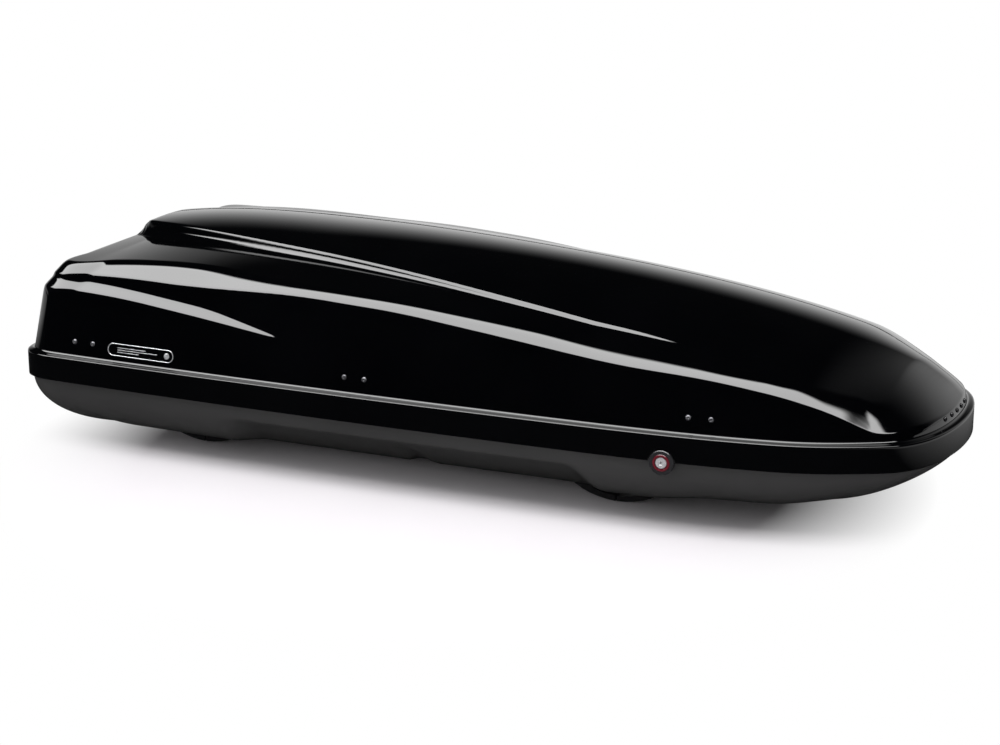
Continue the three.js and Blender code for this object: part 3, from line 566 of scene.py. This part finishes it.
def carve(obj, cutters):
    """Cuts closed shapes, given as (verts, faces), out of a piece."""
    for verts, faces in cutters:
        mesh = bpy.data.meshes.new("cutter")
        mesh.from_pydata([tuple(map(float, v)) for v in verts], [], faces)
        cutter = bpy.data.objects.new("cutter", mesh)
        bpy.context.scene.collection.objects.link(cutter)
        modifier = obj.modifiers.new("cut", "BOOLEAN")
        modifier.operation = "DIFFERENCE"
        modifier.solver = "EXACT"
        modifier.object = cutter
        bpy.context.view_layer.update()
        bake(obj)
        bpy.data.objects.remove(cutter)
        bpy.data.meshes.remove(mesh)


def lathe(profile, segments=32):
    """Closed solid turned around the local Y axis from (radius, y) points that start and end on the axis."""
    verts, faces = [], []
    rings = []
    for radius, y in profile:
        if radius < 1e-6:
            rings.append([len(verts)])
            verts.append((0, y, 0))
            continue
        ids = []
        for k in range(segments):
            angle = 2 * math.pi * k / segments
            ids.append(len(verts))
            verts.append((radius * math.cos(angle), y, radius * math.sin(angle)))
        rings.append(ids)
    for low, high in zip(rings, rings[1:]):
        for k in range(segments):
            a, b = low[k % len(low)], low[(k + 1) % len(low)]
            c, d = high[(k + 1) % len(high)], high[k % len(high)]
            faces.append(tuple(dict.fromkeys((a, d, c, b))))
    return np.array(verts), faces


def prism(outline, low, high, bevel=0.0, segments=3):
    """Closed solid from a flat outline in X and Z, spanning low to high in Y, with rounded edges."""
    bm = bmesh.new()
    ring = [bm.verts.new((x, low, z)) for x, z in outline]
    bottom = bm.faces.new(ring)
    raised = bmesh.ops.extrude_face_region(bm, geom=[bottom])
    top = [v for v in raised["geom"] if isinstance(v, bmesh.types.BMVert)]
    bmesh.ops.translate(bm, verts=top, vec=(0, high - low, 0))
    bmesh.ops.recalc_face_normals(bm, faces=bm.faces)
    if bevel:
        edges = [e for e in bm.edges if abs(e.verts[0].co.y - e.verts[1].co.y) < 1e-6]
        bmesh.ops.bevel(bm, geom=edges, offset=bevel, segments=segments, profile=0.5, affect="EDGES")
    bm.verts.index_update()
    verts = np.array([tuple(v.co) for v in bm.verts])
    faces = [tuple(v.index for v in face.verts) for face in bm.faces]
    bm.free()
    return verts, faces


# Turns a prism's Y to vertical.
LYING = Matrix.Rotation(math.pi / 2, 4, "X")


def nodes_named(prefix):
    return [name for name in frame["nodes"] if name.startswith(prefix)]


def middle_of(node):
    low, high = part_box(node)
    return (low + high) / 2


def placed(shape, matrix):
    """A millimetre shape moved into the frame by a matrix in metres."""
    verts, faces = shape
    return np.array([tuple(matrix @ (Vector(v) * MM)) for v in verts]), faces


def joined(shapes):
    """Several shapes as one."""
    verts, faces, count = [], [], 0
    for points, polygons in shapes:
        verts.append(points)
        faces += [tuple(i + count for i in polygon) for polygon in polygons]
        count += len(points)
    return np.concatenate(verts), faces


def rounded_rectangle(half_x, half_z, radius, steps=6):
    """Outline points, with steps + 1 of them round each corner."""
    points = []
    for cx, cz, start in ((1, 1, 0), (-1, 1, 90), (-1, -1, 180), (1, -1, 270)):
        for k in range(steps + 1):
            angle = math.radians(start + 90 * k / steps)
            points.append((
                cx * (half_x - radius) + radius * math.cos(angle),
                cz * (half_z - radius) + radius * math.sin(angle),
            ))
    return points


def dress(node, material, bevel, degrees=40):
    """Gives a carried-over CAD node its material, rounded edges and smooth round faces."""
    obj = frame["nodes"][node]
    obj.data.materials.clear()
    obj.data.materials.append(material)
    soften(obj, degrees)
    modifier = obj.modifiers.new("edges", "BEVEL")
    modifier.width = bevel * MM
    modifier.segments = 2
    modifier.limit_method = "ANGLE"
    modifier.angle_limit = math.radians(degrees)


# ---- lid ----

outer, edge_rows = lid_grid()
rows = np.unique(np.append(np.arange(edge_rows + 4, outer.shape[1], 3), outer.shape[1] - 1))
# (inset, height) pairs up the inside of the skirt.
lip = [(SHELL - 0.6, 115), (SHELL, 115.8), (SHELL, 158), (4.6, 161), (6.2, 163)]
lip += [(9, 164), (13.5, 165), (17, 167.2)]
inner = inner_grid(outer, grid_normals(outer), rows, lip)
outer[[0, -1], :, 1] = 0
verts, faces = shell_mesh(outer, inner, 1)
lid = piece("lid_skin", verts, faces, GLOSS, "lid", ["lid_shell"], 60)

# The notch in the skirt around the lock.
lock_joint = next(j for j in frame["record"]["behaviour"]["joints"] if j["name"] == "lock_turn")
LOCK = frame_at(Vector(lock_joint["pos_m"]), Vector(lock_joint["axis"]))
carve(lid, [placed(lathe([(0, -9), (26.5, -9), (26.5, 8), (0, 8)], 64), LOCK)])
soften(lid, 50)

# ---- tray ----

outer, edge_rows = belly_grid()
normals = -grid_normals(outer)
normals = np.where(normals[..., 2:3] > 0.2, -normals, normals)
rows = np.unique(np.append(np.arange(edge_rows, outer.shape[1], 2), outer.shape[1] - 1))
lip = [(BASE_INSET + SHELL - 0.8, BASE_TOP), (BASE_INSET + SHELL, BASE_TOP - 1), (BASE_INSET + SHELL, 120)]
inner = inner_grid(outer, normals, rows, lip)
outer[[0, -1], :, 1] = 0
verts, faces = shell_mesh(outer, inner, -1)
tray = piece("tray_skin", verts, faces, TRAY, "base", ["base_shell"], 60)
# Slots for the jaws, two under each clamp, and the lock's bore.
JAW_SLOT_X = 72
cutters = []
for name in nodes_named("clamp_body_"):
    middle = middle_of(name)
    for side in (-1, 1):
        slot_shape = prism(rounded_rectangle(34, 15, 3), -9, 12)
        spot = Matrix.Translation((middle.x + side * JAW_SLOT_X * MM, middle.y, 0))
        cutters.append(placed(slot_shape, spot @ LYING))
cutters.append(placed(lathe([(0, 3), (13.5, 3), (13.5, 21), (0, 21)], 32), LOCK))
carve(tray, cutters)
soften(tray, 35)

# ---- rivets ----

SIDE_RIVET_Z = 200
NOSE_RIVET_Z = 183


def wall_matrix(base, z):
    """On the leaning lid wall at height z: local Y points along the inward normal of the wall."""
    inset = WALL_FOOT_INSET + (z - WALL_FOOT) / WALL_SLOPE
    lean = Matrix.Rotation(-math.atan(1 / WALL_SLOPE), 4, "X")
    return base @ Matrix.Translation((0, inset * MM, z * MM)) @ lean


def rivet_shape(head, grip):
    """Blind rivet: dished head with an open centre, shank, and a formed tail."""
    return lathe([
        (0, -0.9), (1.5, -1), (1.9, -2.7), (2.5, -3), (head * 0.7, -2.5), (head * 0.93, -1.6),
        (head, -0.7), (head, -0.2), (2.4, -0.2), (2.4, grip), (4.1, grip + 0.2), (4.3, grip + 1),
        (3.6, grip + 1.8), (0, grip + 1.8),
    ], 28)


def rivet(node, base, z, shape, material):
    """A fine rivet on the lid wall at height z, in place of a CAD rivet."""
    verts, faces = placed(shape, wall_matrix(base, z))
    piece(node + "_fine", verts, faces, material, "lid", [node])


for node in nodes_named("side_rivet_"):
    base = rim_matrix(middle_of(node).x / MM)
    rivet(node, base, SIDE_RIVET_Z, rivet_shape(5.3, 11.9), RIVET)
for node in nodes_named("nose_rivet_"):
    base = nose_matrix(middle_of(node).y / MM)
    rivet(node, base, NOSE_RIVET_Z, rivet_shape(4.8, 13.2), BLACK)

# ---- badge: a plain plate with a raised rim, three wordless stripes and a disc ----

PLATE_HALF_HEIGHT, PLATE_RADIUS = 13, 12.9
low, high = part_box("badge_plate")
middle = middle_of("badge_plate")
place = wall_matrix(rim_matrix(middle.x / MM), middle.z / MM)
half_length = (high.x - low.x) / MM / 2 - 0.6
outline = rounded_rectangle(half_length, PLATE_HALF_HEIGHT, PLATE_RADIUS, 10)
plate = prism(outline, -1.0, -0.2, 0.3, 2)
verts, faces = placed(plate, place)
piece("badge_field", verts, faces, GLOSS, "lid", ["badge_plate"])


def hoop(half_x, half_z, radius, width, low_y, high_y):
    """A closed raised band along a rounded rectangle, with softened edges."""

    def shrunk(inset):
        return rounded_rectangle(half_x - inset, half_z - inset, max(radius - inset, 0.5), 10)

    edge = width * 0.22
    section = [(0, high_y), (0, low_y + 0.25), (edge, low_y)]
    section += [(width - edge, low_y), (width, low_y + 0.25), (width, high_y)]
    loops = [(shrunk(inset), y) for inset, y in section]
    n = len(loops[0][0])
    points = [(x, y, z) for loop, y in loops for x, z in loop]
    polygons = []
    for a in range(len(loops)):
        b = (a + 1) % len(loops)
        for k in range(n):
            m = (k + 1) % n
            polygons.append((a * n + k, b * n + k, b * n + m, a * n + m))
    return np.array(points), polygons


shapes = [placed(hoop(half_length, PLATE_HALF_HEIGHT, PLATE_RADIUS, 1.5, -2.4, -0.9), place)]
for cx, half, row in ((-22, 34, 4.6), (-8, 48, 0), (-30, 26, -4.6)):
    bar = prism(rounded_rectangle(half, 0.8, 0.78, 4), -1.6, -0.9, 0.15, 1)
    shapes.append(placed(bar, place @ Matrix.Translation((cx * MM, 0, row * MM))))
disc = lathe([(0, -2.1), (5.2, -2.1), (6.2, -1.7), (6.2, -0.9), (0, -0.9)], 40)
shapes.append(placed(disc, place @ Matrix.Translation(((half_length - 16) * MM, 0, 0))))
verts, faces = joined(shapes)
piece("badge_trim", verts, faces, SILVER, "lid")

# ---- lock ----

# Profiles as (radius, depth) about the key's axis; depth grows into the box.
ROUND = 64
boss = [
    (0, 8.4), (11.6, 8.4), (11.6, 3), (12.4, -2.2), (15.5, -2.6), (17.4, -2.9), (20.5, -3), (22.8, -2.6),
    (24, -1.2), (24.2, 2), (24.2, 8.4), (13, 8.8), (13, 24), (0, 24),
]
verts, faces = placed(lathe(boss, ROUND), LOCK)
piece("lock_boss", verts, faces, BOSS, "base", ["lock_housing"], 30)
ring = [(11.9, -2.4), (11.9, -4.1), (12.4, -4.4), (15.8, -4.2), (16.5, -3.4), (16.3, -2.4)]
verts, faces = placed(lathe(ring, ROUND), LOCK)
last = (len(ring) - 1) * ROUND
faces += [(k, (k + 1) % ROUND, last + (k + 1) % ROUND, last + k) for k in range(ROUND)]
piece("lock_ring", verts, faces, RED, "base", ["lock_indicator_ring"], 30)
face = [(0, -3.2), (3.6, -3.2), (4.2, -3.9), (8.6, -4.0), (10.4, -3.5), (11, -2.4), (11, 7.9), (0, 7.9)]
verts, faces = placed(lathe(face, ROUND), LOCK)
barrel = piece("lock_face", verts, faces, CHROME, "lock_cylinder", ["lock_cylinder"], 30)
carve(barrel, [placed(prism(rounded_rectangle(0.8, 3.1, 0.6), -6, 4), LOCK)])
soften(barrel, 30)
shank = lathe([(0, 8.2), (10.6, 8.2), (10.6, 24.6), (0, 24.6)], 48)
cam_outline = [(-6, -9), (6, -9), (6, 14), (4, 18), (-4, 18), (-6, 14)]
cam = prism(cam_outline, 24.6, 28.6, 0.6, 2)
verts, faces = joined([placed(shank, LOCK), placed(cam, LOCK)])
piece("lock_cam", verts, faces, ZINC, "lock_cylinder", (), 30)

# ---- straps and buckles ----

# The webbing's section across X, with thinner edges.
STRAP_SECTION = [(-12.5, 0.5), (-12, 0), (12, 0), (12.5, 0.5)]
STRAP_SECTION += [(12.5, 1.2), (12, 1.6), (-12, 1.6), (-12.5, 1.2)]
STRAP_ROWS = 90

for place in ("rear", "front"):
    low, high = (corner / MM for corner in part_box("strap_" + place))
    cx = (low.x + high.x) / 2
    length = high.y - low.y
    points, polygons = [], []
    for k in range(STRAP_ROWS + 1):
        y = low.y + length * k / STRAP_ROWS
        lift = 0.5 * math.sin(y * 0.045) ** 2
        points += [(cx + dx, y, low.z + lift + dz * 0.9) for dx, dz in STRAP_SECTION]
    n = len(STRAP_SECTION)
    for k in range(STRAP_ROWS):
        for m in range(n):
            b = (m + 1) % n
            polygons.append((k * n + m, (k + 1) * n + m, (k + 1) * n + b, k * n + b))
    polygons.append(tuple(range(n)))
    polygons.append(tuple(reversed(range(STRAP_ROWS * n, STRAP_ROWS * n + n))))
    verts = np.array(points) * MM
    piece("strap_web_" + place, verts, polygons, WEB, "base", ["strap_" + place], 50)
    low, high = (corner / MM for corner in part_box("buckle_" + place))
    cy = (low.y + high.y) / 2
    half_x, half_y = (high.x - low.x) / 2, (high.y - low.y) / 2
    upright = Matrix.Translation((cx * MM, cy * MM, low.z * MM)) @ LYING
    body = prism(rounded_rectangle(half_x - 3, half_y, 6), 0, high.z - low.z, 1.6, 3)
    wings = []
    for s in (-1, 1):
        wing = [(s * (half_x - 7), -12), (s * half_x, -9), (s * half_x, 5), (s * (half_x - 7), 9)]
        wings.append(prism(wing, 1.5, 7.5, 1.2, 2))
    rib = prism(rounded_rectangle(half_x - 8, 1.2, 1.1, 3), 8.2, 9.0, 0.2, 1)
    shapes = [placed(body, upright)] + [placed(w, upright) for w in wings]
    for shift in (-14, -10, 10, 14):
        shapes.append(placed(rib, upright @ Matrix.Translation((0, 0, shift * MM))))
    verts, faces = joined(shapes)
    piece("buckle_shell_" + place, verts, faces, BLACK, "base", ["buckle_" + place], 35)

# ---- carried-over CAD nodes ----

FINISHES = [
    ("base_rail_", ZINC, 1.5), ("hinge_base_", BLACK, 0.6), ("hinge_leaf_", BLACK, 0.5),
    ("bar_guide_", BLACK, 0.6), ("stay_foot_", ZINC, 0.4), ("stay_head_", ZINC, 0.4),
    ("stay_tube_", BLACK, 0.5), ("stay_rod_", ZINC, 0.3),
    ("latch_keeper_", ZINC, 0.4), ("nose_bracket", ZINC, 0.3), ("lock_bar", ZINC, 0.4),
    ("clamp_body_", BLACK, 1.2), ("clamp_knob_", KNOB, 1.6), ("clamp_jaw_", BLACK, 2.0),
]
for prefix, material, bevel in FINISHES:
    for node in nodes_named(prefix):
        dress(node, material, bevel)

# ---- stage: floor, surroundings, lights and camera ----


def world_light():
    """White to the camera; in reflections, one long overhead softbox and a pale backdrop.

    Angle is a direction's height in the plane of the view, from 0 toward the camera to 180
    away from it, and sideways is its part to the right. Diffuse light comes in stronger from
    the left.
    """
    world = bpy.data.worlds.new("studio")
    bpy.context.scene.world = world
    world.use_nodes = True
    tree = world.node_tree
    tree.nodes.clear()

    def maths(operation, a, b):
        node = add(tree, "ShaderNodeMath", operation=operation)
        for k, value in enumerate((a, b)):
            if isinstance(value, (int, float)):
                node.inputs[k].default_value = value
            else:
                tree.links.new(value, node.inputs[k])
        return node.outputs[0]

    def ramp(value, low, high):
        node = add(tree, "ShaderNodeMapRange", interpolation_type="SMOOTHSTEP")
        node.inputs["From Min"].default_value = low
        node.inputs["From Max"].default_value = high
        tree.links.new(value, node.inputs["Value"])
        return node.outputs["Result"]

    sky = add(tree, "ShaderNodeTexCoord").outputs["Generated"]
    forward, sideways, up = (part_along(tree, sky, way) for way in (TO_CAMERA, RIGHT, (0, 0, 1)))
    angle = maths("MULTIPLY", maths("ARCTAN2", up, forward), 180 / math.pi)
    tapered = maths("ADD", angle, maths("MULTIPLY", ramp(sideways, -0.10, 0.45), 28))
    box_light = maths("MULTIPLY", ramp(angle, 60, 63), maths("SUBTRACT", 1, ramp(tapered, 100, 106)))
    box_light = maths("MULTIPLY", box_light, maths("SUBTRACT", 1, ramp(sideways, 0.52, 0.58)))
    box_light = maths("MULTIPLY", box_light, ramp(sideways, -0.92, -0.85))
    backdrop = ramp(angle, 156, 180)
    beyond = ramp(maths("MULTIPLY", forward, -1), 0.05, 0.95)
    right_side = maths("MULTIPLY", beyond, ramp(sideways, 0.3, 0.7))
    backdrop = maths("MAXIMUM", backdrop, right_side)
    level = maths("ADD", maths("MULTIPLY", box_light, SOFTBOX), maths("MULTIPLY", backdrop, BACKDROP))
    level = maths("ADD", level, AMBIENT)
    path = add(tree, "ShaderNodeLightPath")
    fill = maths("SUBTRACT", FILL_LEFT, maths("MULTIPLY", ramp(sideways, -0.8, 0.5), FILL_DROP))
    glossy, camera = path.outputs["Is Glossy Ray"], path.outputs["Is Camera Ray"]
    reflected = maths("MULTIPLY", level, glossy)
    lit = maths("ADD", reflected, maths("MULTIPLY", maths("SUBTRACT", 1, glossy), fill))
    unseen = maths("MULTIPLY", maths("SUBTRACT", 1, camera), lit)
    total = maths("ADD", unseen, maths("MULTIPLY", camera, WHITE))
    background = add(tree, "ShaderNodeBackground")
    tree.links.new(total, background.inputs["Strength"])
    fed(tree, add(tree, "ShaderNodeOutputWorld"), background.outputs[0])


AZIMUTH, ELEVATION = math.radians(26), math.radians(16)
TO_CAMERA = Vector((math.sin(AZIMUTH), -math.cos(AZIMUTH), 0))
RIGHT = Vector((math.cos(AZIMUTH), math.sin(AZIMUTH), 0))
# Strengths of the world's light, on its default grey of 0.8: at 1.25 it shows as plain white.
SOFTBOX, BACKDROP, AMBIENT, WHITE = 13.0, 1.1, 0.006, 1.25
FILL_LEFT, FILL_DROP = 1.35, 1.05
world_light()


def floor_material():
    """Pale matte floor that fades to white away from the box.

    In reflections it is dark near the box, and pale to the right of it and behind it.
    """
    material, tree, shader = new_material("floor_pale")
    tint = mix_colours(tree, noise(tree, 3, 2), (0.93, 0.90, 0.93), (0.95, 0.92, 0.95))
    tree.links.new(tint, shader.inputs["Base Color"])
    shader.inputs["Roughness"].default_value = 0.9
    shader.inputs["Specular IOR Level"].default_value = 0.1
    dark = add(tree, "ShaderNodeBsdfDiffuse", Color=(0.02, 0.02, 0.02, 1)).outputs[0]
    pale = add(tree, "ShaderNodeEmission", Color=(1, 1, 1, 1), Strength=0.8).outputs[0]
    white = add(tree, "ShaderNodeEmission", Color=(1, 1, 1, 1), Strength=1.0).outputs[0]
    path = add(tree, "ShaderNodeLightPath")
    spot = add(tree, "ShaderNodeTexCoord").outputs["Object"]

    squeeze = add(tree, "ShaderNodeMapping", Location=(0.04, 0.12, 0.0), Scale=(1.04, 1.05, 1.0))
    length = add(tree, "ShaderNodeVectorMath", operation="LENGTH")
    length = fed(tree, length, fed(tree, squeeze, spot).outputs[0])
    far = span(tree, length.outputs["Value"], 0, 1, 0.70, 1.0)
    seen = fed(tree, add(tree, "ShaderNodeMath", operation="MULTIPLY"), far, path.outputs["Is Camera Ray"])
    fade = add(tree, "ShaderNodeMixShader")
    fed(tree, fade, seen.outputs[0], shader.outputs[0], white)

    to_right = span(tree, part_along(tree, spot, RIGHT), 0, 1, 1.05, 1.7)
    behind = span(tree, part_along(tree, spot, -TO_CAMERA), 0, 1, 0.9, 1.5)
    open_floor = fed(tree, add(tree, "ShaderNodeMath", operation="MAXIMUM"), to_right, behind)
    mirrored = fed(tree, add(tree, "ShaderNodeMixShader"), open_floor.outputs[0], dark, pale)
    mix = add(tree, "ShaderNodeMixShader")
    fed(tree, mix, path.outputs["Is Glossy Ray"], fade.outputs[0], mirrored.outputs[0])
    tree.links.new(mix.outputs[0], tree.nodes["Material Output"].inputs[0])
    return material


FLOOR_Z = min(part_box(n)[0].z for n in frame["nodes"]) - 0.0005
FLOOR_HALF = 14
mesh = bpy.data.meshes.new("floor")
corners = [(x * FLOOR_HALF, y * FLOOR_HALF, FLOOR_Z) for x, y in ((-1, -1), (1, -1), (1, 1), (-1, 1))]
mesh.from_pydata(corners, [], [(0, 1, 2, 3)])
floor = bpy.data.objects.new("floor", mesh)
mesh.materials.append(floor_material())
bpy.context.scene.collection.objects.link(floor)

KEY_PLACE, KEY_AIM = Vector((0.3, -1.2, 2.6)), Vector((0, 0, 0.15))
key = bpy.data.lights.new("key", "AREA")
key.shape = "RECTANGLE"
key.size, key.size_y = 3.6, 1.6
key.energy = 60
key_object = bpy.data.objects.new("key", key)
key_object.location = KEY_PLACE
key_object.rotation_euler = (KEY_PLACE - KEY_AIM).to_track_quat("Z", "Y").to_euler()
key_object.visible_glossy = False
bpy.context.scene.collection.objects.link(key_object)

back = TO_CAMERA * math.cos(ELEVATION) + Vector((0, 0, math.sin(ELEVATION)))
camera_data = bpy.data.cameras.new("camera")
camera_data.sensor_width = 36
camera_data.lens = 83.2
TARGET, DISTANCE = Vector((0.0145, -0.0598, 0.155)), 4.7325
camera = bpy.data.objects.new("camera", camera_data)
camera.location = TARGET + back * DISTANCE
camera.rotation_mode = "QUATERNION"
camera.rotation_quaternion = (-back).to_track_quat("-Z", "Y")
camera_data.clip_end = 100
bpy.context.scene.collection.objects.link(camera)
bpy.context.scene.camera = camera
bpy.context.scene.view_settings.view_transform = "Standard"
